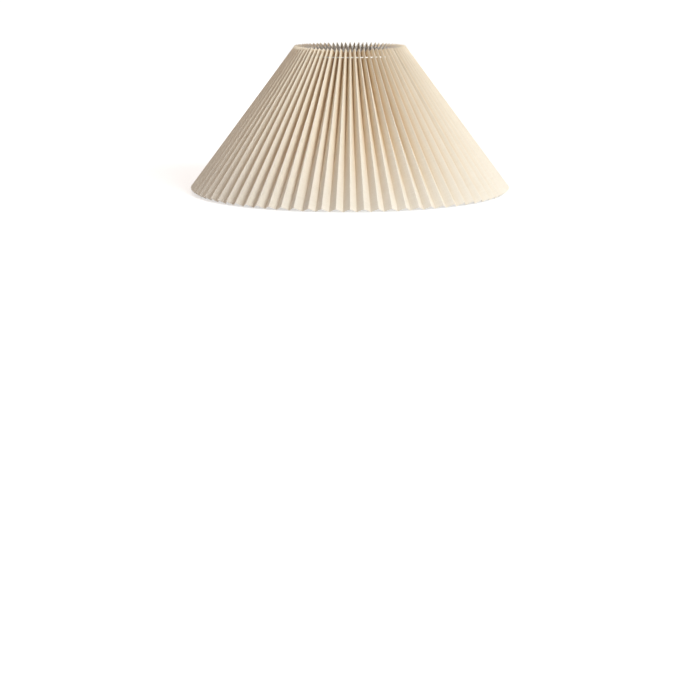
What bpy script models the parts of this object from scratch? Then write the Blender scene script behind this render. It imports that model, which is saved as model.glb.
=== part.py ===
"""A large conical lamp shade of accordion-pleated linen on a wire frame.

Two pleated cloth panels lap at two seams and are drawn in at the top by a cord. They hang over
a frame of two rings and six ribs, and three arms carry the steel ring that sits on a lamp holder.
A plastic ring in it narrows the hole for a small holder. Metres, +Z up, the lower edge at z = 0
and the front towards -Y. An azimuth is measured from the front towards +X.
"""

from math import asin, cos, pi, sin, sqrt

import bmesh
import bpy
from mathutils import Vector

# Cloth
PLEATS = 76
LOWER_DIAMETER = 0.600  # across the outer folds
UPPER_DIAMETER = 0.205
STRIP_WIDTH = 0.329  # from the upper to the lower edge, along a fold
FACE_WIDTH = 0.0161  # from one fold to the next
CLOTH = 0.0006
PANELS = 2
SEAM_FOLD = -7  # the fold that the first seam lies in, counted from the front one
SEAM_TRIM = 0.0035  # how far from that fold the covering panel starts
LAP_GAP = 0.0005  # between the lap and the panel over it
GAP = 0.0003  # left between pieces that touch

# Draw cord
CORD_DIAMETER = 0.002
CORD_FROM_EDGE = 0.015
CORD_ACROSS = 0.45  # share of a face, from its outer fold
CORD_HOLE = 0.003

# Frame
RING_WIRE = 0.0035
RIB_WIRE = 0.003
ARM_WIRE = 0.0035
UPPER_RING_FROM_EDGE = 0.035
LOWER_RING_FROM_EDGE = 0.030
RIBS = 6
RIB_PAST_RING = 0.004
ARMS = 3
ARM_AZIMUTH = pi / 6  # of the first arm, half way between two ribs
ARM_DROP = 0.018  # from the upper ring down to the arm
ARM_ABOVE_RING = 0.003
ARM_BEND = 0.008

# Fitter for a lamp holder, and the reducer in it
FITTER_HOLE = 0.042
FITTER_WIDTH = 0.009  # from the hole to the outside of the rim
FITTER_RIM = 0.0055
FITTER_SHEET = 0.0012
REDUCER_FLANGE = 0.004  # how far it lies on the fitter, past the hole
REDUCER_HOLE = 0.029
REDUCER_WALL = 0.0016
REDUCER_BELOW = 0.0006  # how far it comes through the fitter

# Fineness of round pieces
WIRE_SIDES = 8
CORD_SIDES = 6
FITTER_STEPS = 48
BEND_STEPS = 4

SHADE = "lamp_shade"
HALF_PITCH = pi / PLEATS
COS_SLOPE = (LOWER_DIAMETER - UPPER_DIAMETER) / 2 / STRIP_WIDTH
SIN_SLOPE = sqrt(1 - COS_SLOPE**2)


def outer_radius(along):
    """Radius of the outer folds at a distance along them from the upper edge."""
    return UPPER_DIAMETER / 2 + along * COS_SLOPE


def fold_depth(along):
    """Depth of a pleat, square to the cone, that keeps its faces FACE_WIDTH wide."""
    radius, bow = outer_radius(along), 1 - cos(HALF_PITCH)
    lean = radius * SIN_SLOPE * bow
    return lean + sqrt(lean**2 + FACE_WIDTH**2 - 2 * radius**2 * bow)


def half_angle(along):
    """Half the angle between the two faces at a fold."""
    return asin(outer_radius(along) * sin(HALF_PITCH) / FACE_WIDTH)


def fold_overhang(along):
    """How far the cloth's thickness carries a folded corner past its middle line."""
    return CLOTH / 2 / sin(half_angle(along))


LOWER_FOLD_HEIGHT = (fold_depth(STRIP_WIDTH) + fold_overhang(STRIP_WIDTH)) * COS_SLOPE
UPPER_FOLD_HEIGHT = LOWER_FOLD_HEIGHT + STRIP_WIDTH * SIN_SLOPE
LOWER_RING_ALONG = STRIP_WIDTH - LOWER_RING_FROM_EDGE
ROWS = (
    0,
    UPPER_RING_FROM_EDGE,
    (UPPER_RING_FROM_EDGE + LOWER_RING_ALONG) / 2,
    LOWER_RING_ALONG,
    STRIP_WIDTH,
)


def section(along, inward):
    """Radius and height at a distance along the outer fold and a depth square to the cone."""
    radius = outer_radius(along) - inward * SIN_SLOPE
    return radius, UPPER_FOLD_HEIGHT - along * SIN_SLOPE - inward * COS_SLOPE


def around(azimuth, radius, height):
    return Vector((radius * sin(azimuth), -radius * cos(azimuth), height))


def ring_section(along):
    """Radius and height of a ring's wire that bears on the inner folds from inside."""
    seat = fold_depth(along) + fold_overhang(along) + GAP
    return section(along, seat + RING_WIRE / 2)


def material(name, colour, roughness, metallic=0.0):
    made = bpy.data.materials.new(name)
    made.use_nodes = True
    shader = made.node_tree.nodes["Principled BSDF"]
    shader.inputs["Base Color"].default_value = (*colour, 1)
    shader.inputs["Roughness"].default_value = roughness
    shader.inputs["Metallic"].default_value = metallic
    return made


def add_object(name, data, surface, smooth=True):
    made = bpy.data.objects.new(name, data)
    data.materials.append(surface)
    if smooth and isinstance(data, bpy.types.Mesh):
        data.shade_smooth()
        data.set_sharp_from_angle(angle=pi / 6)
    bpy.data.collections[SHADE].objects.link(made)
    return made


# Pleated cloth


def fold_point(face, across, along, turn=0.0):
    """A point of the folded strip. Face 0 ends at the front fold, and across is 0 at an outer
    fold and 1 at an inner one."""
    outer_fold, inner_fold = face - face % 2, face - 1 + face % 2
    outer = around(outer_fold * HALF_PITCH + turn, *section(along, 0))
    inner = around(inner_fold * HALF_PITCH + turn, *section(along, fold_depth(along)))
    return outer.lerp(inner, across)


def lap_turn(along):
    """The angle about the axis that sets a lap clear of the face that covers it."""
    return (CLOTH + LAP_GAP) / outer_radius(along) / cos(half_angle(along))


def cloth_vertex(bm, face, across, along, turned):
    turn = lap_turn(along) if turned else 0.0
    return bm.verts.new(fold_point(face, across, along, turn))


def cloth_column(bm, face, across, turned=False):
    """Points from the upper to the lower edge, at one place across a face."""
    return [cloth_vertex(bm, face, across, along, turned) for along in ROWS]


def add_quad(bm, corners, rises):
    """Two triangles, which mirror each other on faces that rise to an outer fold and fall."""
    a, b, c, d = corners if rises else (corners[3], *corners[:3])
    bm.faces.new((a, b, c))
    bm.faces.new((a, c, d))


def add_bands(bm, left, right, rises):
    for row in range(len(left) - 1):
        add_quad(bm, (left[row], left[row + 1], right[row + 1], right[row]), rises)


def add_face(bm, face, start, end, turned=False):
    """One face of the strip with its cord hole, from start to end across it."""
    rises = start > end
    left, right = (cloth_column(bm, face, across, turned) for across in (start, end))
    half_across = CORD_HOLE / 2 / FACE_WIDTH * (-1 if rises else 1)
    hole = []
    for side, down in ((-1, -1), (-1, 1), (1, 1), (1, -1)):
        across = CORD_ACROSS + side * half_across
        along = CORD_FROM_EDGE + down * CORD_HOLE / 2
        hole.append(cloth_vertex(bm, face, across, along, turned))
    rim = [left[0], left[1], right[1], right[0]]
    for corner in range(4):
        after = (corner + 1) % 4
        add_quad(bm, (rim[corner], rim[after], hole[after], hole[corner]), rises)
    add_bands(bm, left[1:], right[1:], rises)


def pleated_panel(name, panel, surface):
    """Its first face covers the end of the panel before it, which laps inside that face."""
    bm = bmesh.new()
    # The lap stops short of the outer fold, where the space between two faces runs out.
    short = (2 * CLOTH + LAP_GAP + GAP) / sin(2 * half_angle(0))
    lap_start, lap_end = 1 - SEAM_TRIM / FACE_WIDTH, short / FACE_WIDTH
    faces = 2 * PLEATS // PANELS
    first = SEAM_FOLD + 1 + panel * faces

    add_face(bm, first, lap_start, lap_end)
    add_bands(bm, cloth_column(bm, first, lap_end), cloth_column(bm, first, 0), True)
    for face in range(first + 1, first + faces):
        add_face(bm, face, *((0, 1) if face % 2 else (1, 0)))
    lap = first + faces
    crease = cloth_column(bm, lap, 1), cloth_column(bm, lap, lap_start, True)
    add_bands(bm, *crease, True)
    add_face(bm, lap, lap_start, lap_end, turned=True)

    bmesh.ops.remove_doubles(bm, verts=bm.verts, dist=GAP / 10)
    mesh = bpy.data.meshes.new(name)
    bm.to_mesh(mesh)
    bm.free()
    cover = add_object(name, mesh, surface, smooth=False)
    thicken = cover.modifiers.new("Cloth thickness", "SOLIDIFY")
    thicken.thickness = CLOTH
    thicken.offset = 0
    thicken.use_even_offset = True
    thicken.use_quality_normals = True


# Wires


def torus(name, radius, height, wire, sides, surface):
    bpy.ops.mesh.primitive_torus_add(
        location=(0, 0, height),
        major_radius=radius,
        minor_radius=wire / 2,
        major_segments=PLEATS,
        minor_segments=sides,
    )
    made = bpy.context.object
    mesh = made.data
    bpy.data.objects.remove(made)
    ring = add_object(name, mesh, surface)
    ring.location.z = height


def wire(name, points, diameter, surface):
    curve = bpy.data.curves.new(name, "CURVE")
    curve.dimensions = "3D"
    curve.bevel_depth = diameter / 2
    curve.bevel_resolution = 2
    curve.use_fill_caps = True
    spline = curve.splines.new("POLY")
    spline.points.add(len(points) - 1)
    for point, place in zip(spline.points, points):
        point.co = (*place, 1)
    add_object(name, curve, surface)


def bent(start, corner, end, radius):
    """Points of two straight runs with a round bend between them, at a right angle."""
    back, ahead = (start - corner).normalized(), (end - corner).normalized()
    centre = corner + (back + ahead) * radius
    points = [start]
    for step in range(BEND_STEPS + 1):
        angle = step / BEND_STEPS * pi / 2
        points.append(centre - radius * (ahead * cos(angle) + back * sin(angle)))
    return [*points, end]


def draw_cord(surface):
    hole = fold_point(0, CORD_ACROSS, CORD_FROM_EDGE)
    radius = hole.to_2d().length
    torus("draw_cord", radius, hole.z, CORD_DIAMETER, CORD_SIDES, surface)


def frame(surface):
    upper = ring_section(UPPER_RING_FROM_EDGE)
    lower = ring_section(LOWER_RING_ALONG)
    torus("upper_ring", *upper, RING_WIRE, WIRE_SIDES, surface)
    torus("lower_ring", *lower, RING_WIRE, WIRE_SIDES, surface)

    # The ribs lie on the inside of both rings.
    run = (Vector(lower) - Vector(upper)).normalized()
    inward = Vector((run.y, -run.x)) * ((RING_WIRE + RIB_WIRE) / 2 + GAP)
    past = run * RIB_PAST_RING
    ends = (Vector(upper) + inward - past, Vector(lower) + inward + past)
    for rib in range(RIBS):
        azimuth = 2 * pi * rib / RIBS
        points = [around(azimuth, *end) for end in ends]
        wire(f"frame_rib_{rib + 1}", points, RIB_WIRE, surface)


def spider(surface):
    """The arms, from the inside of the upper ring down and in to the fitter's rim."""
    ring_radius, ring_height = ring_section(UPPER_RING_FROM_EDGE)
    outside = ring_radius - (RING_WIRE + ARM_WIRE) / 2 - GAP
    inside = FITTER_HOLE / 2 + FITTER_WIDTH + GAP
    for arm in range(ARMS):
        azimuth = ARM_AZIMUTH + 2 * pi * arm / ARMS
        start = around(azimuth, outside, ring_height + ARM_ABOVE_RING)
        corner = around(azimuth, outside, arm_height())
        end = around(azimuth, inside, arm_height())
        wire(f"spider_arm_{arm + 1}", bent(start, corner, end, ARM_BEND), ARM_WIRE, surface)


def arm_height():
    return ring_section(UPPER_RING_FROM_EDGE)[1] - ARM_DROP


# Turned pieces


def turned(name, profile, height, surface, parent=None):
    """A closed profile of (radius, height) turned about the axis, down its outer side first."""
    mesh = bpy.data.meshes.new(name)
    corners = [(radius, 0, level) for radius, level in profile]
    edges = [(i, (i + 1) % len(corners)) for i in range(len(corners))]
    mesh.from_pydata(corners, edges, [])
    made = add_object(name, mesh, surface)
    screw = made.modifiers.new("Turned", "SCREW")
    screw.steps = screw.render_steps = FITTER_STEPS
    screw.use_merge_vertices = True
    screw.merge_threshold = GAP / 10
    screw.use_smooth_shade = False
    made.location.z = height
    if parent:
        made.parent = parent
        made.location.z = 0


def fitter_base():
    """Height of the fitter's underside, with its rim centred on the arms."""
    return arm_height() - FITTER_RIM / 2


def fitter_ring(surface):
    hole = FITTER_HOLE / 2
    outside = hole + FITTER_WIDTH
    inside = outside - FITTER_SHEET
    corner = [
        (outside - FITTER_SHEET * (1 - cos(a)), FITTER_SHEET * (1 - sin(a)))
        for a in (0, pi / 6, pi / 3, pi / 2)
    ]
    profile = [
        (outside, FITTER_RIM),
        *corner,
        (hole, 0),
        (hole, FITTER_SHEET),
        (inside, FITTER_SHEET),
        (inside, FITTER_RIM),
    ]
    turned("fitter_ring", profile, fitter_base(), surface)


def reducer_ring(surface):
    """A stepped ring that drops into the fitter from above and lifts out of it."""
    lift = bpy.data.objects.new("reducer_lift_axis", None)
    lift.location.z = fitter_base()
    bpy.data.collections[SHADE].objects.link(lift)
    boss, hole = FITTER_HOLE / 2 - GAP, REDUCER_HOLE / 2
    flange, seat = FITTER_HOLE / 2 + REDUCER_FLANGE, FITTER_SHEET + GAP
    profile = [
        (flange, seat + REDUCER_WALL),
        (flange, seat),
        (boss, seat),
        (boss, -REDUCER_BELOW),
        (hole, -REDUCER_BELOW),
        (hole, REDUCER_WALL - REDUCER_BELOW),
        (boss - REDUCER_WALL, REDUCER_WALL - REDUCER_BELOW),
        (boss - REDUCER_WALL, seat + REDUCER_WALL),
    ]
    turned("reducer_ring", profile, 0, surface, parent=lift)


def build():
    for old in list(bpy.data.objects):
        bpy.data.objects.remove(old)
    bpy.context.scene.collection.children.link(bpy.data.collections.new(SHADE))

    linen = material("linen", (0.80, 0.70, 0.55), 0.85)
    cotton = material("cotton cord", (0.86, 0.83, 0.76), 0.9)
    wire_paint = material("white paint", (0.80, 0.79, 0.76), 0.45)
    plastic = material("white plastic", (0.86, 0.86, 0.84), 0.4)

    for panel, side in enumerate(("right", "left")):
        pleated_panel(f"pleated_cover_{side}", panel, linen)
    draw_cord(cotton)
    frame(wire_paint)
    spider(wire_paint)
    fitter_ring(wire_paint)
    reducer_ring(plastic)


build()
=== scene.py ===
"""Looks of a pleated linen lamp shade: folded cloth, its draw cord, and the frame that holds it."""

from math import asin, cos, pi, sin, sqrt

import bmesh
import bpy
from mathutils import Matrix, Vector


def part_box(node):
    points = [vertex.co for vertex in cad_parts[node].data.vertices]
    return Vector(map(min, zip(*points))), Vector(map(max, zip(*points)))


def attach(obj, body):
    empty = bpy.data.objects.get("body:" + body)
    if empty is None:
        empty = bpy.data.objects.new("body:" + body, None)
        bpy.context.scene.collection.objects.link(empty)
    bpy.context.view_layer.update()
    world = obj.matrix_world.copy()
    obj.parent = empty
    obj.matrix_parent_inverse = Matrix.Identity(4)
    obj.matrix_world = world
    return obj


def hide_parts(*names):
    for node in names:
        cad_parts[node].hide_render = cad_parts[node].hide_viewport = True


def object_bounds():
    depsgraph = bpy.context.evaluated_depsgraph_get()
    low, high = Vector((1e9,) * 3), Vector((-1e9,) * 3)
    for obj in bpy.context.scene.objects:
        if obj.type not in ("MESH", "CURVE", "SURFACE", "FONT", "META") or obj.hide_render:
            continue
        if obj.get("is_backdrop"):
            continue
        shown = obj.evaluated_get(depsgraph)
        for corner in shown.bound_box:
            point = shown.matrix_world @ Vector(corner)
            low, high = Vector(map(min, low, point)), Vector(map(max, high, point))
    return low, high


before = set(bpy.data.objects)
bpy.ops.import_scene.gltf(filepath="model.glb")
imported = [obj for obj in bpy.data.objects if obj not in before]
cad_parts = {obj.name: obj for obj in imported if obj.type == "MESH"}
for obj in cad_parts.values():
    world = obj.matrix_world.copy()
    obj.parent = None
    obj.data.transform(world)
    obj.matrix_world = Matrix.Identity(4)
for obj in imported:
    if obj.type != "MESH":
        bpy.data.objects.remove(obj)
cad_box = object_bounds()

# Sizes of the folded strip, in metres
PLEATS = 76
LOWER_DIAMETER = 0.600
UPPER_DIAMETER = 0.205
STRIP_WIDTH = 0.329
FACE_WIDTH = 0.0161
CLOTH = 0.0006
SEAM_FOLD = -7
SEAM_TRIM = 0.0035
LAP_GAP = 0.0005
GAP = 0.0003
CORD_HOLE = 0.003
CORD_ACROSS = 0.45
CORD_FROM_EDGE = 0.015
HOLE_MARGIN = 0.004
THREAD = 0.00062

# Knot of the draw cord
KNOT_FOLD = 72
KNOT_INSIDE = 0.0110
KNOT_RADIUS = 0.0021
KNOT_HEIGHT = 0.0042
KNOT_TURNS = 2.3
CORD_TURN = 0.0020
CORD_APART = 0.0010

# Sizes of the frame
ARM_ABOVE_RING = 0.003
ARM_DROP = 0.018
ARM_BEND = 0.008
RIB_PAST_RING = 0.004
RIBS = 6
ARMS = 3
RIB_BEADS_APART = 0.0024
ARM_BEADS_APART = 0.0028
FITTER_BEAD_RADIUS = 0.0301
FITTER_BEAD_STEP = 0.0003

# Sizes of the fitter and the reducer
SHEET = 0.0012
FITTER_HOLE = 0.042
GROOVE_RADIUS = 0.025
GROOVE_DEPTH = 0.00045
REDUCER_WALL = 0.0016
REDUCER_HOLE = 0.029
REDUCER_BOSS = 0.0414
STIFFENERS = 12
STIFFENER_PLACE = 0.0179
STIFFENER_ABOVE_WALL = 0.0007
STIFFENER_SIZE = (0.0026, 0.0011, 0.0018)
STIFFENER_LOW_END = -0.0002
STIFFENER_BEVEL = 0.0002

HALF_PITCH = pi / PLEATS
COS_SLOPE = (LOWER_DIAMETER - UPPER_DIAMETER) / 2 / STRIP_WIDTH
SIN_SLOPE = sqrt(1 - COS_SLOPE**2)


# ---------------------------------------------------------------- nodes


class Number:
    """A number inside a node tree, so that sums and products read as such."""

    def __init__(self, tree, socket):
        self.tree, self.socket = tree, socket

    def __add__(self, other):
        return self.tree.math("ADD", self, other)

    def __radd__(self, other):
        return self.tree.math("ADD", other, self)

    def __sub__(self, other):
        return self.tree.math("SUBTRACT", self, other)

    def __rsub__(self, other):
        return self.tree.math("SUBTRACT", other, self)

    def __mul__(self, other):
        return self.tree.math("MULTIPLY", self, other)

    def __rmul__(self, other):
        return self.tree.math("MULTIPLY", other, self)

    def __truediv__(self, other):
        return self.tree.math("DIVIDE", self, other)

    def __pow__(self, other):
        return self.tree.math("POWER", self, other)


class Nodes:
    """Adds nodes to a tree and joins them up."""

    def __init__(self, tree):
        self.tree = tree

    def put(self, socket, value):
        if isinstance(value, Number):
            value = value.socket
        if isinstance(value, bpy.types.NodeSocket):
            self.tree.links.new(value, socket)
        elif value is not None:
            socket.default_value = value

    def add(self, kind, *inputs, out=0, **settings):
        node = self.tree.nodes.new(kind)
        for name, value in settings.items():
            setattr(node, name, value)
        for socket, value in zip(node.inputs, inputs):
            self.put(socket, value)
        return Number(self, node.outputs[out]) if node.outputs else node

    def give(self, number, **inputs):
        """Puts values on a node's inputs by their names."""
        for name, value in inputs.items():
            self.put(number.socket.node.inputs[name.replace("_", " ")], value)
        return number

    def math(self, operation, *values):
        return self.add("ShaderNodeMath", *values, operation=operation)

    def limited(self, value):
        return self.add("ShaderNodeClamp", value, 0.0, 1.0)

    def between(self, low, high, share):
        return low + (high - low) * share

    def parts(self, vector):
        node = self.add("ShaderNodeSeparateXYZ", vector).socket.node
        return [Number(self, socket) for socket in node.outputs]

    def vector(self, x, y, z):
        return self.add("ShaderNodeCombineXYZ", x, y, z)

    def scaled(self, vector, amount):
        made = self.add("ShaderNodeVectorMath", vector, operation="SCALE")
        return self.give(made, Scale=amount)

    def noise(self, place, scale, detail=0.0, even=False):
        return self.add("ShaderNodeTexNoise", place, None, scale, detail, normalize=not even)


class Making(Nodes):
    """A Geometry Nodes tree with a named input for each size."""

    def __init__(self, name, **sizes):
        super().__init__(bpy.data.node_groups.new(name, "GeometryNodeTree"))
        new = self.tree.interface.new_socket
        new("Geometry", in_out="INPUT", socket_type="NodeSocketGeometry")
        new("Geometry", in_out="OUTPUT", socket_type="NodeSocketGeometry")
        kinds = {float: "NodeSocketFloat", int: "NodeSocketInt"}
        self.values = {}
        for label, value in sizes.items():
            kind = kinds.get(type(value), "NodeSocketMaterial")
            socket = new(label, in_out="INPUT", socket_type=kind)
            self.values[socket.identifier] = value
        self.source = self.tree.nodes.new("NodeGroupInput")

    def size(self, name):
        return Number(self, self.source.outputs[name])

    def made_of(self, geometry, material):
        """Ends the tree."""
        real = self.add("GeometryNodeRealizeInstances", geometry)
        real = self.add("GeometryNodeSetMaterial", real, None, self.size(material))
        self.add("NodeGroupOutput", real)

    def grow(self, name, source):
        """The plain piece that the tree makes of a source object."""
        step = source.modifiers.new(name, "NODES")
        step.node_group = self.tree
        for identifier, value in self.values.items():
            step[identifier] = value
        return plain(name, source)


def plain(name, source):
    """A piece with the source's evaluated mesh, in place of the source."""
    graph = bpy.context.evaluated_depsgraph_get()
    mesh = bpy.data.meshes.new_from_object(
        source.evaluated_get(graph), preserve_all_data_layers=True, depsgraph=graph
    )
    bpy.data.objects.remove(source)
    return placed(name, mesh)


def placed(name, mesh):
    piece = bpy.data.objects.new(name, mesh)
    mesh.name = name
    bpy.context.scene.collection.objects.link(piece)
    return piece


def from_bmesh(name, bm):
    mesh = bpy.data.meshes.new(name)
    bm.to_mesh(mesh)
    bm.free()
    return placed(name, mesh)


def smooth(piece, angle=pi / 4):
    piece.data.shade_smooth()
    piece.data.set_sharp_from_angle(angle=angle)


def belongs(piece, body, slot, *nodes):
    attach(piece, body)
    if nodes:
        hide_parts(*nodes)


# ---------------------------------------------------------------- finishes


class Finish(Nodes):
    """A material that starts as one shader of uniform values."""

    def __init__(self, name, **uniform):
        self.material = bpy.data.materials.new(name)
        self.material.use_nodes = True
        super().__init__(self.material.node_tree)
        self.shader = self.tree.nodes["Principled BSDF"]
        for label, value in uniform.items():
            self.shader.inputs[label.replace("_", " ")].default_value = value

    def varies(self, label, value):
        self.put(self.shader.inputs[label], value)

    def blended(self, share, first, second):
        """A colour between two others."""
        node = self.tree.nodes.new("ShaderNodeMix")
        node.data_type = "RGBA"
        for index, value in ((0, share), (6, first), (7, second)):
            if isinstance(value, tuple):
                value = (*value, 1.0)
            self.put(node.inputs[index], value)
        return Number(self, node.outputs[2])

    def ramp(self, value, start, end):
        """0 up to start, 1 from end on."""
        return self.add("ShaderNodeMapRange", value, start, end, 0.0, 1.0, clamp=True)

    def raised(self, height, distance, strength=1.0):
        bump = self.tree.nodes.new("ShaderNodeBump")
        bump.inputs["Strength"].default_value = strength
        bump.inputs["Distance"].default_value = distance
        self.put(bump.inputs["Height"], height)
        self.varies("Normal", Number(self, bump.outputs[0]))
        return Number(self, bump.outputs[0])

    def lets_light_through(self, share, colour, normal=None):
        glow = self.tree.nodes.new("ShaderNodeBsdfTranslucent")
        self.put(glow.inputs["Color"], colour)
        if normal:
            self.put(glow.inputs["Normal"], normal)
        mixed = self.tree.nodes.new("ShaderNodeMixShader")
        mixed.inputs[0].default_value = share
        self.tree.links.new(self.shader.outputs[0], mixed.inputs[1])
        self.tree.links.new(glow.outputs[0], mixed.inputs[2])
        surface = self.tree.nodes["Material Output"].inputs["Surface"]
        self.tree.links.new(mixed.outputs[0], surface)

    def object_place(self):
        return self.add("ShaderNodeTexCoord", out="Object")

    def strip_place(self):
        """Distance along the strip and from its upper edge, in metres."""
        return self.parts(self.add("ShaderNodeUVMap", uv_map="UVMap"))[:2]


def weave(finish):
    """Height of a plain weave, and how far its thicker threads stand out, over the strip."""
    waves, sway, fine, length_up, length_level = 90, 0.00022, 1500, 26, 22
    u, v = finish.strip_place()
    wander = finish.noise(finish.vector(u * waves, v * waves, 0.0), 1.0, 1.0, even=True) * sway
    u, v = u + wander, v - wander
    turn = pi / THREAD
    cross = finish.math("SINE", u * turn) * finish.math("SINE", v * turn)
    upright = finish.noise(finish.vector(u * fine, v * length_up, 3.1), 1.0, 1.0)
    level = finish.noise(finish.vector(u * length_level, v * fine, 8.7), 1.0, 1.0)
    slub = finish.math("MAXIMUM", finish.ramp(upright, 0.56, 0.78), finish.ramp(level, 0.57, 0.8))
    tone = (upright + level) * 0.5
    return cross, slub, tone


def linen():
    finish = Finish("Natural linen", Roughness=0.86, Sheen_Weight=0.12, Sheen_Roughness=0.45)
    finish.shader.inputs["Sheen Tint"].default_value = (1.0, 0.95, 0.86, 1.0)
    finish.shader.inputs["Specular IOR Level"].default_value = 0.25
    cross, slub, tone = weave(finish)
    u, v = finish.strip_place()
    cloud = finish.noise(finish.vector(u * 9, v * 9, 1.3), 1.0, 2.0)
    colour = finish.blended(
        finish.ramp(tone, 0.3, 0.7), (0.81, 0.755, 0.665), (0.90, 0.86, 0.785)
    )
    colour = finish.blended(slub * 0.35, colour, (0.90, 0.87, 0.81))
    colour = finish.blended(finish.ramp(cloud, 0.35, 0.75) * 0.18, colour, (0.82, 0.765, 0.65))
    fleck = finish.noise(finish.vector(u * 700, v * 700, 5.5), 1.0, 0.0)
    colour = finish.blended(finish.ramp(fleck, 0.80, 0.86) * 0.5, colour, (0.55, 0.44, 0.30))
    # Painted shade: the linen's colour turns warmer towards the upper edge, where the pleats lie
    # close and shade each other.
    painted_shade_to_top = finish.ramp(v, STRIP_WIDTH, 0.0)
    colour = finish.blended(painted_shade_to_top * 0.45, colour, (0.93, 0.80, 0.60))
    # Painted shade: the cloth turns tan down in the valleys of the pleats, more towards the upper
    # edge, where shade falls between the folds.
    depth = finish.add("ShaderNodeAttribute", attribute_name="pleat_depth", out="Fac")
    closed = 0.12 + painted_shade_to_top * 0.88
    painted_valley_shade = finish.ramp(depth, 0.1, 1.0) * closed
    colour = finish.blended(painted_valley_shade, colour, (0.94, 0.735, 0.455))
    # Painted shade: dark brown in the deepest part of each valley, towards the upper edge.
    painted_deep_shade = finish.ramp(depth, 0.35, 0.95) * painted_shade_to_top
    colour = finish.blended(painted_deep_shade * 0.8, colour, (0.60, 0.39, 0.21))
    finish.varies("Base Color", colour)
    normal = finish.raised(cross * 0.4 + slub * 0.8 + tone * 0.6, 0.00016, 0.7)
    finish.lets_light_through(0.24, finish.blended(0.5, colour, (0.94, 0.80, 0.55)), normal)
    return finish.material


def film():
    finish = Finish("White film", Roughness=0.42, Coat_Weight=0.05)
    _, slub, tone = weave(finish)
    # Painted shade: the film is coloured light grey rather than white, standing for the shade that
    # lies on the inside of the lamp shade.
    finish.varies(
        "Base Color",
        finish.blended(finish.ramp(tone, 0.3, 0.7), (0.68, 0.675, 0.67), (0.76, 0.76, 0.75)),
    )
    normal = finish.raised(slub * 0.6 + tone, 0.00006, 0.5)
    finish.lets_light_through(0.26, (0.92, 0.88, 0.80, 1.0), normal)
    return finish.material


def cut_edge():
    finish = Finish("Cut edge of linen", Roughness=0.9)
    place = finish.object_place()
    grain = finish.noise(place, 1800.0, 1.0)
    finish.varies(
        "Base Color",
        finish.blended(finish.ramp(grain, 0.35, 0.65), (0.60, 0.50, 0.37), (0.84, 0.77, 0.66)),
    )
    finish.raised(grain, 0.0001, 0.8)
    return finish.material


def cotton():
    finish = Finish("Cotton cord", Roughness=0.9, Sheen_Weight=0.25, Sheen_Roughness=0.5)
    place = finish.object_place()
    fibre = finish.noise(place, 2600.0, 2.0)
    finish.varies(
        "Base Color",
        finish.blended(finish.ramp(fibre, 0.3, 0.7), (0.93, 0.92, 0.89), (0.98, 0.975, 0.96)),
    )
    finish.raised(fibre, 0.00012, 0.8)
    return finish.material


def powder_coat(name, base, worn):
    """Satin paint with the fine ripple that powder coat has, and duller where it pooled."""
    finish = Finish(name, Coat_Weight=0.12, Coat_Roughness=0.25)
    place = finish.object_place()
    ripple = finish.noise(place, 900.0, 1.0)
    pooled = finish.noise(place, 60.0, 3.0)
    finish.varies("Base Color", finish.blended(finish.ramp(pooled, 0.45, 0.75), base, worn))
    finish.varies("Roughness", finish.between(0.36, 0.52, finish.ramp(pooled, 0.3, 0.7)))
    finish.raised(ripple, 0.00008, 0.6)
    return finish.material


def moulded():
    finish = Finish("White moulded plastic", Specular_IOR_Level=0.5)
    place = finish.object_place()
    grain = finish.noise(place, 3000.0, 1.0)
    flow = finish.noise(place, 70.0, 2.0)
    finish.varies(
        "Base Color",
        finish.blended(finish.ramp(flow, 0.4, 0.7), (0.84, 0.835, 0.81), (0.88, 0.875, 0.855)),
    )
    finish.varies("Roughness", finish.between(0.34, 0.46, flow))
    finish.raised(grain, 0.00003, 0.5)
    return finish.material


# ---------------------------------------------------------------- pleated cloth


def outer_radius(along):
    return UPPER_DIAMETER / 2 + along * COS_SLOPE


def fold_depth(along):
    """Depth of a pleat, square to the cone, that keeps its faces FACE_WIDTH wide."""
    radius, bow = outer_radius(along), 1 - cos(HALF_PITCH)
    lean = radius * SIN_SLOPE * bow
    return lean + sqrt(lean**2 + FACE_WIDTH**2 - 2 * radius**2 * bow)


def half_angle(along):
    return asin(outer_radius(along) * sin(HALF_PITCH) / FACE_WIDTH)


LOWER_FOLD_HEIGHT = COS_SLOPE * (
    fold_depth(STRIP_WIDTH) + CLOTH / 2 / sin(half_angle(STRIP_WIDTH))
)
UPPER_FOLD_HEIGHT = LOWER_FOLD_HEIGHT + STRIP_WIDTH * SIN_SLOPE
LAP_START = SEAM_TRIM / FACE_WIDTH
LAP_END = 1 - (2 * CLOTH + LAP_GAP + GAP) / sin(2 * half_angle(0)) / FACE_WIDTH


def section(along, inward):
    """Radius and height at a distance along an outer fold and a depth square to the cone."""
    radius = outer_radius(along) - inward * SIN_SLOPE
    return radius, UPPER_FOLD_HEIGHT - along * SIN_SLOPE - inward * COS_SLOPE


def around(azimuth, radius, height):
    """Azimuth 0 is the front, and it grows towards +X."""
    return Vector((radius * sin(azimuth), -radius * cos(azimuth), height))


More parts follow.
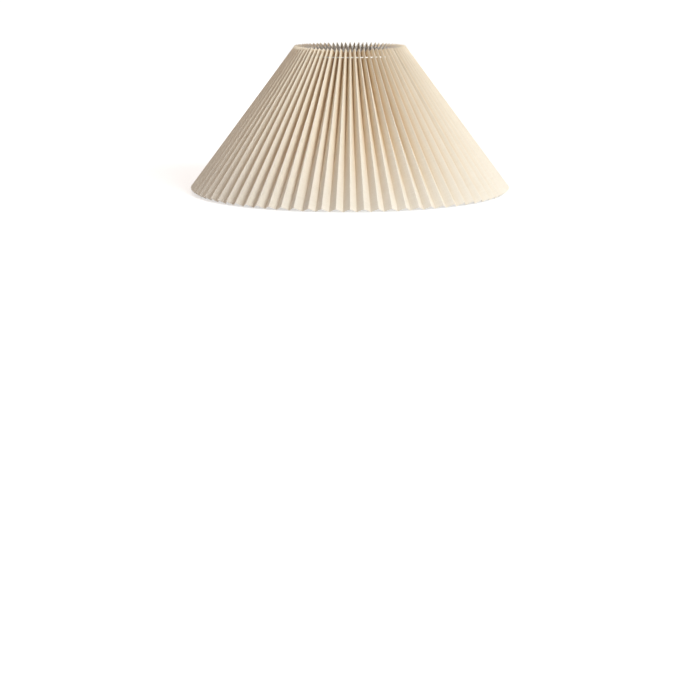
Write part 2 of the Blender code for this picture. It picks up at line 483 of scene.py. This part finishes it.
def flat_pleat():
    """One pleat of the flat strip, from inner fold to inner fold, with a cord hole in each face.

    Its columns close in on the folds, which are round, and lie on the ends of both laps.
    """
    near_fold = (0, 0.008, 0.02, 0.05, 0.12)
    hole = (0.15, 0, -0.15)
    rise = sorted({*near_fold, LAP_START, *(1 - CORD_ACROSS + x for x in hole), LAP_END})
    rise += [1 - x for x in reversed(near_fold)]
    fall = [2 - x for x in reversed(rise[:-1])]
    fall = [x for x in fall if abs(x - 2 + LAP_END) > 1e-6]
    columns = rise + fall
    hole_rows = [CORD_FROM_EDGE - HOLE_MARGIN, CORD_FROM_EDGE, CORD_FROM_EDGE + HOLE_MARGIN]
    half_way, plain_from, plain_rows = 0.0055, 0.027, 32
    step = (STRIP_WIDTH - plain_from) / plain_rows
    below = [plain_from + step * i for i in range(plain_rows + 1)]
    rows = [0, half_way, *hole_rows, *below]

    bm = bmesh.new()
    grid = [[bm.verts.new((x * FACE_WIDTH, -y, 0)) for x in columns] for y in rows]
    centres = [1 - CORD_ACROSS, 1 + CORD_ACROSS]
    middles = [min(range(len(columns)), key=lambda i: abs(columns[i] - c)) for c in centres]
    open_cells = {(row, m + side) for row in (2, 3) for m in middles for side in (-1, 0)}
    for row in range(len(rows) - 1):
        for column in range(len(columns) - 1):
            if (row, column) not in open_cells:
                a, b = grid[row], grid[row + 1]
                bm.faces.new((a[column], b[column], b[column + 1], a[column + 1]))
    for m in middles:
        centre = grid[3][m].co.copy()
        turns = [(3, 1), (2, 1), (2, 0), (2, -1), (3, -1), (4, -1), (4, 0), (4, 1)]
        rim = [grid[row][m + side] for row, side in turns]
        edge = []
        for i in range(16):
            angle = i / 16 * 2 * pi
            away = Vector((cos(angle), sin(angle), 0)) * CORD_HOLE / 2
            edge.append(bm.verts.new(centre + away))
        for i in range(8):
            first, second = rim[i], rim[(i + 1) % 8]
            a, b, c = edge[2 * i], edge[2 * i + 1], edge[(2 * i + 2) % 16]
            for corners in ((first, second, b), (first, b, a), (second, c, b)):
                bm.faces.new(corners)
        bm.verts.remove(grid[3][m])
    return from_bmesh("Flat pleat", bm)


def pleating(panel, surface):
    """Repeats a flat pleat along a panel's strip, trims the strip, and folds it round the cone.

    The folds are numbered round the shade, the even ones outside, and number 0 is in front. Each
    fold strays a little, more at the free upper edge, and the same way on both layers of a lap.
    """
    tree = Making(
        "Pleating",
        Pleats=PLEATS // 2 + 1,
        First_fold=float(SEAM_FOLD + panel * PLEATS),
        Folds=float(PLEATS),
        Face_width=FACE_WIDTH,
        Trim=LAP_START,
        Lap=LAP_END,
        Upper_radius=UPPER_DIAMETER / 2,
        Upper_height=UPPER_FOLD_HEIGHT,
        Strip_width=STRIP_WIDTH,
        Slope_cosine=COS_SLOPE,
        Slope_sine=SIN_SLOPE,
        Half_pitch=HALF_PITCH,
        Lap_step=CLOTH + LAP_GAP,
        Fold_roundness=0.0030,
        Stray_above=0.62,
        Stray_below=0.12,
        Depth_stray=0.045,
        Face_bow=0.00035,
        Seed=4.0,
        Linen=surface,
    )
    size = tree.size
    face, first = size("Face_width"), size("First_fold")

    # The strip, flat
    step = tree.vector(face * 2.0, 0.0, 0.0)
    line = tree.add("GeometryNodeMeshLine", size("Pleats"), None, None, step)
    strip = tree.add("GeometryNodeInstanceOnPoints", line, None, size("Geometry"))
    strip = tree.add("GeometryNodeRealizeInstances", strip)
    strip = tree.add("GeometryNodeMergeByDistance", strip, None, 0.000005)
    x, y, _ = tree.parts(tree.add("GeometryNodeInputPosition"))
    share = x / face
    before = tree.math("LESS_THAN", share, size("Trim"))
    after = tree.math("GREATER_THAN", share, size("Folds") + size("Lap"))
    strip = tree.add("GeometryNodeDeleteGeometry", strip, before + after, domain="FACE")
    along = y * -1.0
    shift = first * face
    strip = tree.add(
        "GeometryNodeStoreNamedAttribute",
        strip,
        None,
        "UVMap",
        tree.vector(x + shift, along, 0.0),
        data_type="FLOAT2",
        domain="CORNER",
    )

    # Depth of the cloth in the pleat, 0 at outer folds and 1 at inner ones
    fold = share + first
    swing = tree.math("COSINE", fold * pi) * (1.0 - size("Fold_roundness"))
    depth = tree.math("ARCCOSINE", swing) / pi
    strip = tree.add(
        "GeometryNodeStoreNamedAttribute", strip, None, "pleat_depth", depth, domain="POINT"
    )

    # How far the two folds beside a point stray, and the point between them
    lower = tree.math("FLOOR", fold)
    part = fold - lower
    down = along / size("Strip_width")
    stray, shallow, bow = [], [], []
    for number in (lower, lower + 1.0):
        number = tree.math("FLOORED_MODULO", number, size("Folds") * 2.0)
        for found, level, slow in ((stray, 0.0, 0.55), (shallow, 30.0, 0.5), (bow, 60.0, 0.6)):
            place = tree.vector(number * 0.83, down * slow, size("Seed") + level)
            found.append(tree.noise(place, 1.0, 0.0, even=True))
    stray = tree.between(*stray, part)
    shallow = tree.between(*shallow, part)
    bow = bow[0]

    radius = size("Upper_radius") + along * size("Slope_cosine")
    curve = 1.0 - tree.math("COSINE", size("Half_pitch"))
    lean = radius * size("Slope_sine") * curve
    full = lean + tree.math("SQRT", lean * lean + face * face - radius * radius * 2.0 * curve)
    inward = depth * full * (1.0 - tree.math("ABSOLUTE", shallow) * size("Depth_stray"))
    above, below = size("Stray_above"), size("Stray_below")
    spread = tree.between(above, below, down ** 0.6)
    wide = radius * tree.math("SINE", size("Half_pitch")) / face
    narrow = tree.math("SQRT", 1.0 - wide * wide)
    lap = tree.limited((share - size("Folds")) / size("Trim"))
    lap = lap * size("Lap_step") / radius / narrow
    bulge = tree.math("SINE", fold * pi) * (0.4 + bow * 2.0) * size("Face_bow") / radius
    azimuth = (fold + stray * spread) * size("Half_pitch") + lap + bulge

    radius = radius - inward * size("Slope_sine")
    height = size("Upper_height") - along * size("Slope_sine") - inward * size("Slope_cosine")
    place = tree.vector(
        radius * tree.math("SINE", azimuth), radius * tree.math("COSINE", azimuth) * -1.0, height
    )
    cloth = tree.add("GeometryNodeSetPosition", strip, None, place)
    tree.made_of(cloth, "Linen")
    return tree


def linen_covers():
    surfaces = linen(), film(), cut_edge()
    for panel, side in enumerate(("right", "left")):
        cover = pleating(panel, surfaces[0]).grow("Folded strip", flat_pleat())
        for surface in surfaces[1:]:
            cover.data.materials.append(surface)
        cloth = cover.modifiers.new("Cloth", "SOLIDIFY")
        cloth.thickness = CLOTH
        cloth.offset = 0
        cloth.use_even_offset = True
        cloth.use_quality_normals = True
        cloth.material_offset = 1
        cloth.material_offset_rim = 2
        cover = plain(f"linen_cover_{side}", cover)
        smooth(cover, pi / 3)
        belongs(cover, "shade", "linen", f"pleated_cover_{side}")


# ---------------------------------------------------------------- draw cord


def cord_route():
    """Through every pleat, with both ends brought in at the back, one wrapped round the other."""
    ring, level = section(CORD_FROM_EDGE, fold_depth(CORD_FROM_EDGE) * CORD_ACROSS)
    gate = KNOT_FOLD * HALF_PITCH
    out, across = around(gate, 1, 0), around(gate + pi / 2, 1, 0)

    def spot(radius, side, drop):
        return out * radius + across * side + Vector((0, 0, level - drop))

    # Round the neck, from just above its middle level to just below it
    loop = []
    count, rise_share = 168, 0.02
    start, end = gate + CORD_TURN / ring, gate + 2 * pi - CORD_TURN / ring
    for i in range(count + 1):
        share = i / count
        rise = max(0, 1 - share / rise_share) - max(0, 1 - (1 - share) / rise_share)
        loop.append(around(start + (end - start) * share, ring, level + CORD_APART * rise))

    # One end hangs straight down from the knot, and the other is wrapped round it
    inner = ring - KNOT_INSIDE
    straight = [
        spot(inner + 0.0004, 0.0003, 0.0190),
        spot(inner + 0.0002, 0.0002, 0.0120),
        spot(inner, 0, 0.0060),
        spot(inner, 0, 0.0030),
        spot(inner + 0.0006, 0, 0.0004),
        spot(inner + 0.0024, 0, -CORD_APART),
        spot(ring - 0.0060, 0.0002, -CORD_APART),
        spot(ring - 0.0022, 0.0004, -CORD_APART),
        spot(ring - 0.0006, 0.0010, -CORD_APART),
    ]
    wrapped = [
        spot(ring - 0.0006, -0.0010, CORD_APART),
        spot(ring - 0.0022, -0.0004, CORD_APART),
        spot(ring - 0.0060, -0.0006, CORD_APART),
        spot(inner + 0.0026, -0.0016, CORD_APART * 1.2),
    ]
    steps = 22
    for i in range(steps + 1):
        share = i / steps
        angle = share * KNOT_TURNS * 2 * pi
        side = KNOT_RADIUS * Vector((sin(angle), -cos(angle)))
        wrapped.append(spot(inner + side.x, side.y, 0.0022 + KNOT_HEIGHT * share))
    wrapped += [
        spot(inner - 0.0014, 0.0030, 0.0080),
        spot(inner - 0.0022, 0.0036, 0.0125),
        spot(inner - 0.0026, 0.0040, 0.0170),
    ]
    return straight + loop + wrapped


def twisting(surface):
    """Lays three strands round a route."""
    tree = Making(
        "Twisting",
        Strands=3,
        Strand=0.00064,
        Off_centre=0.00056,
        Twist=0.0064,
        Step=0.00062,
        Sides=7,
        Cotton=surface,
    )
    size = tree.size
    route = tree.add("GeometryNodeMeshToCurve", size("Geometry"))
    route = tree.add("GeometryNodeResampleCurve", route, mode="LENGTH")
    tree.give(route, Length=size("Step"))
    copies = tree.add(
        "GeometryNodeDuplicateElements", route, None, size("Strands"), domain="SPLINE"
    )
    which = Number(tree, copies.socket.node.outputs["Duplicate Index"])
    along = tree.add("GeometryNodeSplineParameter", out="Length")
    angle = along / size("Twist") * 2 * pi + which / size("Strands") * 2 * pi
    normal = tree.add("GeometryNodeInputNormal")
    tangent = tree.add("GeometryNodeInputTangent")
    side = tree.add("ShaderNodeVectorMath", tangent, normal, operation="CROSS_PRODUCT")
    away = tree.add(
        "ShaderNodeVectorMath",
        tree.scaled(normal, tree.math("COSINE", angle) * size("Off_centre")),
        tree.scaled(side, tree.math("SINE", angle) * size("Off_centre")),
        operation="ADD",
    )
    strands = tree.add("GeometryNodeSetPosition", copies, None, None, away)
    outline = tree.add("GeometryNodeCurvePrimitiveCircle", size("Sides"))
    tree.give(outline, Radius=size("Strand"))
    cord = tree.add("GeometryNodeCurveToMesh", strands, outline)
    tree.give(cord, Fill_Caps=True)
    tree.made_of(cord, "Cotton")
    return tree


def path(name, points, closed=False):
    mesh = bpy.data.meshes.new(name)
    edges = [(i, i + 1) for i in range(len(points) - 1)]
    if closed:
        edges.append((len(points) - 1, 0))
    mesh.from_pydata(points, edges, [])
    return placed(name, mesh)


def draw_cord():
    cord = twisting(cotton()).grow("twisted_draw_cord", path("Cord route", cord_route()))
    smooth(cord, pi / 2)
    belongs(cord, "shade", "cord", "draw_cord")


# ---------------------------------------------------------------- wire frame


def ring_of(node):
    """Radius, height and wire of a ring, from its box."""
    low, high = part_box(node)
    wire = high.z - low.z
    return (high.x - low.x - wire) / 2, (high.z + low.z) / 2, wire


UPPER_RING = ring_of("upper_ring")
LOWER_RING = ring_of("lower_ring")
RIB_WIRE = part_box("frame_rib_1")[1].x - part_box("frame_rib_1")[0].x
FITTER_LOW, FITTER_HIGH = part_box("fitter_ring")
REDUCER_LOW, REDUCER_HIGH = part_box("reducer_ring")


def drawing_wire(wire, bend, surface):
    """Draws round wire along its routes, with bent corners and cut ends."""
    tree = Making("Drawing wire", Wire=wire, Bend=bend, Sides=18, Paint=surface)
    size = tree.size
    route = tree.add("GeometryNodeMeshToCurve", size("Geometry"))
    if bend:
        route = tree.add("GeometryNodeFilletCurve", route, mode="POLY")
        tree.give(route, Radius=size("Bend"), Count=12)
    taper = tree.add("GeometryNodeInputNamedAttribute", "taper", data_type="FLOAT")
    outline = tree.add("GeometryNodeCurvePrimitiveCircle", size("Sides"))
    tree.give(outline, Radius=size("Wire") / 2.0)
    made = tree.add("GeometryNodeCurveToMesh", route, outline)
    tree.give(made, Scale=taper, Fill_Caps=True)
    tree.made_of(made, "Paint")
    return tree


def routes(name, runs, wire):
    """Open routes for wire, with a small chamfer on both ends of each."""
    points, edges, taper = [], [], []
    for run in runs:
        first, last = run[0], run[-1]
        ahead, back = (run[1] - first).normalized(), (run[-2] - last).normalized()
        chamfer = ((0, 0.62), (0.10, 0.84), (0.28, 1.0))
        line = [(first + ahead * wire * d, t) for d, t in chamfer]
        line += [(point, 1.0) for point in run[1:-1]]
        line += [(last + back * wire * d, t) for d, t in reversed(chamfer)]
        edges += [(len(points) + i, len(points) + i + 1) for i in range(len(line) - 1)]
        points += [point for point, _ in line]
        taper += [share for _, share in line]
    mesh = bpy.data.meshes.new(name)
    mesh.from_pydata(points, edges, [])
    layer = mesh.attributes.new("taper", "FLOAT", "POINT")
    layer.data.foreach_set("value", taper)
    return placed(name, mesh)


def ring_route(name, radius, height, count=144):
    points = [around(i / count * 2 * pi, radius, height) for i in range(count)]
    ring = path(name, points, closed=True)
    layer = ring.data.attributes.new("taper", "FLOAT", "POINT")
    layer.data.foreach_set("value", [1.0] * count)
    return ring


def rib_azimuths():
    return [2 * pi * rib / RIBS for rib in range(RIBS)]


def arm_azimuths():
    return [pi / 6 + 2 * pi * arm / ARMS for arm in range(ARMS)]


def arm_route(azimuth):
    radius, height, wire = UPPER_RING
    outside = radius - wire - GAP
    level = height - ARM_DROP
    return [
        around(azimuth, outside, height + ARM_ABOVE_RING),
        around(azimuth, outside, level),
        around(azimuth, FITTER_HIGH.x + GAP, level),
    ]


def rib_ends():
    upper, lower = Vector(UPPER_RING[:2]), Vector(LOWER_RING[:2])
    run = (lower - upper).normalized()
    inward = Vector((run.y, -run.x)) * ((UPPER_RING[2] + RIB_WIRE) / 2 + GAP)
    past = run * RIB_PAST_RING
    return upper + inward - past, lower + inward + past, upper + inward, lower + inward


def welding(surface):
    """A run of molten beads at each joint of the wires."""
    tree = Making("Welding", Bead=0.0019, Unevenness=0.0005, Seed=7, Paint=surface)
    size = tree.size
    ball = tree.add("GeometryNodeMeshIcoSphere", size("Bead"), 3)
    scale = tree.add("FunctionNodeRandomValue", (0.8,) * 3, (1.2,) * 3, data_type="FLOAT_VECTOR")
    tree.give(scale, Seed=size("Seed"))
    beads = tree.add("GeometryNodeInstanceOnPoints", size("Geometry"), None, ball)
    tree.give(beads, Scale=scale)
    beads = tree.add("GeometryNodeRealizeInstances", beads)
    place = tree.add("GeometryNodeInputPosition")
    lumps = tree.noise(place, 700.0, 1.0, even=True) * size("Unevenness")
    lumps = tree.scaled(tree.add("GeometryNodeInputNormal"), lumps)
    beads = tree.add("GeometryNodeSetPosition", beads, None, None, lumps)
    tree.made_of(beads, "Paint")
    return tree


def wire_frame(paint):
    for node, ring in (("upper_ring", UPPER_RING), ("lower_ring", LOWER_RING)):
        radius, height, wire = ring
        name = f"{node}_wire"
        piece = drawing_wire(wire, 0.0, paint).grow(name, ring_route(name, radius, height))
        smooth(piece)
        belongs(piece, "shade", "frame_wire", node)

    top, bottom, _, _ = rib_ends()
    ends = top, top.lerp(bottom, 0.5), bottom
    runs = [[around(azimuth, *end) for end in ends] for azimuth in rib_azimuths()]
    ribs = drawing_wire(RIB_WIRE, 0.0, paint).grow("frame_ribs", routes("Ribs", runs, RIB_WIRE))
    smooth(ribs)
    belongs(ribs, "shade", "frame_wire", *(f"frame_rib_{i + 1}" for i in range(RIBS)))

    wire = UPPER_RING[2]
    arms = routes("Arms", [arm_route(azimuth) for azimuth in arm_azimuths()], wire)
    arms = drawing_wire(wire, ARM_BEND, paint).grow("spider_arms", arms)
    smooth(arms)
    belongs(arms, "shade", "frame_wire", *(f"spider_arm_{i + 1}" for i in range(ARMS)))

    joints = []
    _, _, top, bottom = rib_ends()
    for azimuth in rib_azimuths():
        for ring, rib_place in ((UPPER_RING, top), (LOWER_RING, bottom)):
            middle = (Vector(ring[:2]) + rib_place) / 2
            for side in (-0.5, 0.5):
                joints.append(around(azimuth + side * RIB_BEADS_APART / middle.x, *middle))
    radius, level = UPPER_RING[0] - wire / 2 - GAP / 2, UPPER_RING[1] - ARM_DROP
    for azimuth in arm_azimuths():
        for side in (-1, 1):
            turn, step = side * ARM_BEADS_APART / 2, side * FITTER_BEAD_STEP
            joints.append(around(azimuth + turn / radius, radius, UPPER_RING[1]))
            azimuth_in = azimuth + turn / FITTER_BEAD_RADIUS
            joints.append(around(azimuth_in, FITTER_BEAD_RADIUS, level + step))
    beads = welding(paint).grow("frame_welds", path("Joints", joints))
    smooth(beads, pi)
    belongs(beads, "shade", "frame_wire")


# ---------------------------------------------------------------- fitter and reducer


def turned(name, profile, segments=120):
    """A closed profile of (radius, height) turned about the axis, smooth all round."""
    bm = bmesh.new()
    rings = []
    for i in range(segments):
        azimuth = i / segments * 2 * pi
        rings.append([bm.verts.new(around(azimuth, r, z)) for r, z in profile])
    for i in range(segments):
        a, b = rings[i], rings[(i + 1) % segments]
        for k in range(len(profile)):
            j = (k + 1) % len(profile)
            bm.faces.new((a[k], a[j], b[j], b[k]))
    bmesh.ops.recalc_face_normals(bm, faces=bm.faces)
    return from_bmesh(name, bm)


def rounded(profile, radius=0.0003, steps=3):
    """A profile with its corners rounded, each by its own radius or the given one."""
    points = []
    count = len(profile)
    for i, corner in enumerate(profile):
        here = Vector(corner[:2])
        reach = corner[2] if len(corner) > 2 else radius
        back = Vector(profile[i - 1][:2]) - here
        ahead = Vector(profile[(i + 1) % count][:2]) - here
        reach = min(reach, back.length * 0.49, ahead.length * 0.49)
        start, end = here + back.normalized() * reach, here + ahead.normalized() * reach
        for k in range(steps + 1):
            t = k / steps
            points.append(tuple(start * (1 - t) ** 2 + here * 2 * t * (1 - t) + end * t * t))
    return points


def grooved(level, rise, foot, top):
    """The groove pressed in the fitter, across one face of the sheet and from inside to outside."""
    feet = [(GROOVE_RADIUS + side * foot, level) for side in (-1, 1)]
    crown = [(GROOVE_RADIUS + side * top, level + rise) for side in (-1, 1)]
    return [feet[0], *crown, feet[1]]


def fitter(paint):
    low, high, outside = FITTER_LOW.z, FITTER_HIGH.z, FITTER_HIGH.x
    hole, inside, floor_top = FITTER_HOLE / 2, outside - SHEET, low + SHEET
    profile = [
        (outside, high, 0.0006),
        (outside, low, 0.0014),
        *reversed(grooved(low, GROOVE_DEPTH, 0.0012, 0.0006)),
        (hole, low, 0.0004),
        (hole, floor_top, 0.0004),
        *grooved(floor_top, GROOVE_DEPTH * 0.8, 0.0014, 0.0007),
        (inside, floor_top, 0.0008),
        (inside, high, 0.0006),
    ]
    piece = turned("pressed_fitter_ring", rounded(profile))
    piece.data.materials.append(paint)
    smooth(piece)
    belongs(piece, "shade", "fitter", "fitter_ring")


def ribbing(level, surface):
    """Short ribs that stiffen the step of the reducer."""
    tree = Making(
        "Ribbing", Ribs=STIFFENERS, Place=STIFFENER_PLACE, Level=level, Plastic=surface
    )
    size = tree.size
    circle = tree.add("GeometryNodeMeshCircle", size("Ribs"), size("Place"))
    lifted = tree.add("GeometryNodeSetPosition", circle)
    tree.give(lifted, Offset=tree.vector(0.0, 0.0, size("Level")))
    x, y, _ = tree.parts(tree.add("GeometryNodeInputPosition"))
    turn = tree.vector(0.0, 0.0, tree.math("ARCTAN2", y, x))
    ribs = tree.add("GeometryNodeInstanceOnPoints", lifted, None, size("Geometry"))
    tree.give(ribs, Rotation=turn)
    tree.made_of(ribs, "Plastic")
    return tree


def reducer(plastic):
    low, high, flange = REDUCER_LOW.z, REDUCER_HIGH.z, REDUCER_HIGH.x
    wall, hole, boss = REDUCER_WALL, REDUCER_HOLE / 2, REDUCER_BOSS / 2
    profile = [
        (flange, high, 0.0006),
        (flange, high - wall, 0.0003),
        (boss, high - wall, 0.0002),
        (boss, low, 0.0005),
        (hole, low, 0.0004),
        (hole, low + wall, 0.0004),
        (boss - wall, low + wall, 0.0004),
        (boss - wall, high, 0.0005),
    ]
    ring = turned("Reducer", rounded(profile))
    ring.data.materials.append(plastic)

    bm = bmesh.new()
    bmesh.ops.create_cube(bm, size=1)
    bmesh.ops.scale(bm, vec=STIFFENER_SIZE, verts=bm.verts)
    for vert in bm.verts:
        if vert.co.x < 0 and vert.co.z > 0:
            vert.co.z = STIFFENER_LOW_END
    bmesh.ops.bevel(bm, geom=bm.edges, offset=STIFFENER_BEVEL, segments=2, affect="EDGES")
    level = low + wall + STIFFENER_ABOVE_WALL
    ribs = ribbing(level, plastic).grow("Ribs", from_bmesh("Rib", bm))
    bm = bmesh.new()
    bm.from_mesh(ring.data)
    bm.from_mesh(ribs.data)
    for other in (ring, ribs):
        bpy.data.objects.remove(other)
    piece = from_bmesh("moulded_reducer_ring", bm)
    piece.data.materials.append(plastic)
    smooth(piece)
    belongs(piece, "reducer", "reducer", "reducer_ring")


# ---------------------------------------------------------------- stage


def floor():
    finish = Finish("Pale floor", Roughness=0.7)
    finish.shader.inputs["Base Color"].default_value = (0.74, 0.80, 0.84, 1)
    x, y, _ = finish.parts(finish.object_place())
    away = finish.ramp(finish.math("SQRT", x * x + y * y), 1.0, 5.0)
    finish.varies("Emission Color", finish.blended(away, (0.455, 0.44, 0.435), (0.72, 0.75, 0.77)))
    finish.shader.inputs["Emission Strength"].default_value = 1.0
    clear = finish.tree.nodes.new("ShaderNodeBsdfTransparent")
    below = finish.tree.nodes.new("ShaderNodeMixShader")
    side = finish.add("ShaderNodeNewGeometry", out="Backfacing")
    finish.put(below.inputs[0], side)
    finish.put(below.inputs[1], finish.shader.outputs[0])
    finish.put(below.inputs[2], clear.outputs[0])
    finish.put(finish.tree.nodes["Material Output"].inputs["Surface"], below.outputs[0])
    bm = bmesh.new()
    bmesh.ops.create_grid(bm, x_segments=2, y_segments=2, size=40)
    piece = from_bmesh("Floor", bm)
    piece.location.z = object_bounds()[0].z - 0.0002
    piece.data.materials.append(finish.material)
    piece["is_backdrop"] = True


def soft_light(name, azimuth, elevation, distance, size, power, colour):
    lamp = bpy.data.lights.new(name, "AREA")
    lamp.shape = "DISK"
    lamp.size, lamp.energy, lamp.color = size, power, colour
    light = bpy.data.objects.new(name, lamp)
    bpy.context.scene.collection.objects.link(light)
    middle = Vector((0, 0, 0.12))
    side = around(azimuth, cos(elevation), sin(elevation)) * distance
    light.location = middle + side
    light.rotation_euler = side.to_track_quat("Z", "Y").to_euler()


def studio():
    world = bpy.data.worlds.new("Studio")
    world.use_nodes = True
    nodes = Nodes(world.node_tree)
    dim = nodes.add("ShaderNodeBackground", (1.0, 0.85, 0.775, 1), 0.47)
    pale = nodes.add("ShaderNodeBackground", (1, 1, 1, 1), 1.0)
    seen = nodes.add("ShaderNodeLightPath", out="Is Camera Ray")
    backdrop = nodes.add("ShaderNodeMixShader", seen, dim, pale)
    nodes.put(world.node_tree.nodes["World Output"].inputs["Surface"], backdrop)
    bpy.context.scene.world = world
    for name, azimuth, elevation, distance, size, power, colour in (
        ("Key", 0.76, 0.50, 3.2, 1.3, 76, (0.93, 0.99, 1.0)),
        ("Side light", 1.50, 0.42, 3.2, 1.3, 4, (1, 1, 1)),
        ("Back light", 3.3, 0.6, 3.4, 1.8, 30, (1.0, 0.94, 0.88)),
    ):
        soft_light(name, azimuth, elevation, distance, size, power, colour)
    floor()

    lens = bpy.data.cameras.new("Camera")
    lens.lens, lens.sensor_width = 94.9, 36
    lens.clip_start, lens.clip_end = 0.05, 60
    camera = bpy.data.objects.new("Camera", lens)
    camera.location = (0, -3.465, 0.475)
    camera.rotation_euler = (pi / 2 - 0.223, 0, 0)
    bpy.context.scene.collection.objects.link(camera)
    bpy.context.scene.camera = camera
    bpy.context.scene.view_settings.view_transform = "Standard"


paint = powder_coat("White powder coat", (0.86, 0.85, 0.82), (0.80, 0.785, 0.75))
wire_frame(paint)
fitter(paint)
reducer(moulded())
linen_covers()
draw_cord()
studio()

boxes = {"cad": cad_box, "visual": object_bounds()}
{name: [list(corner) for corner in box] for name, box in boxes.items()}
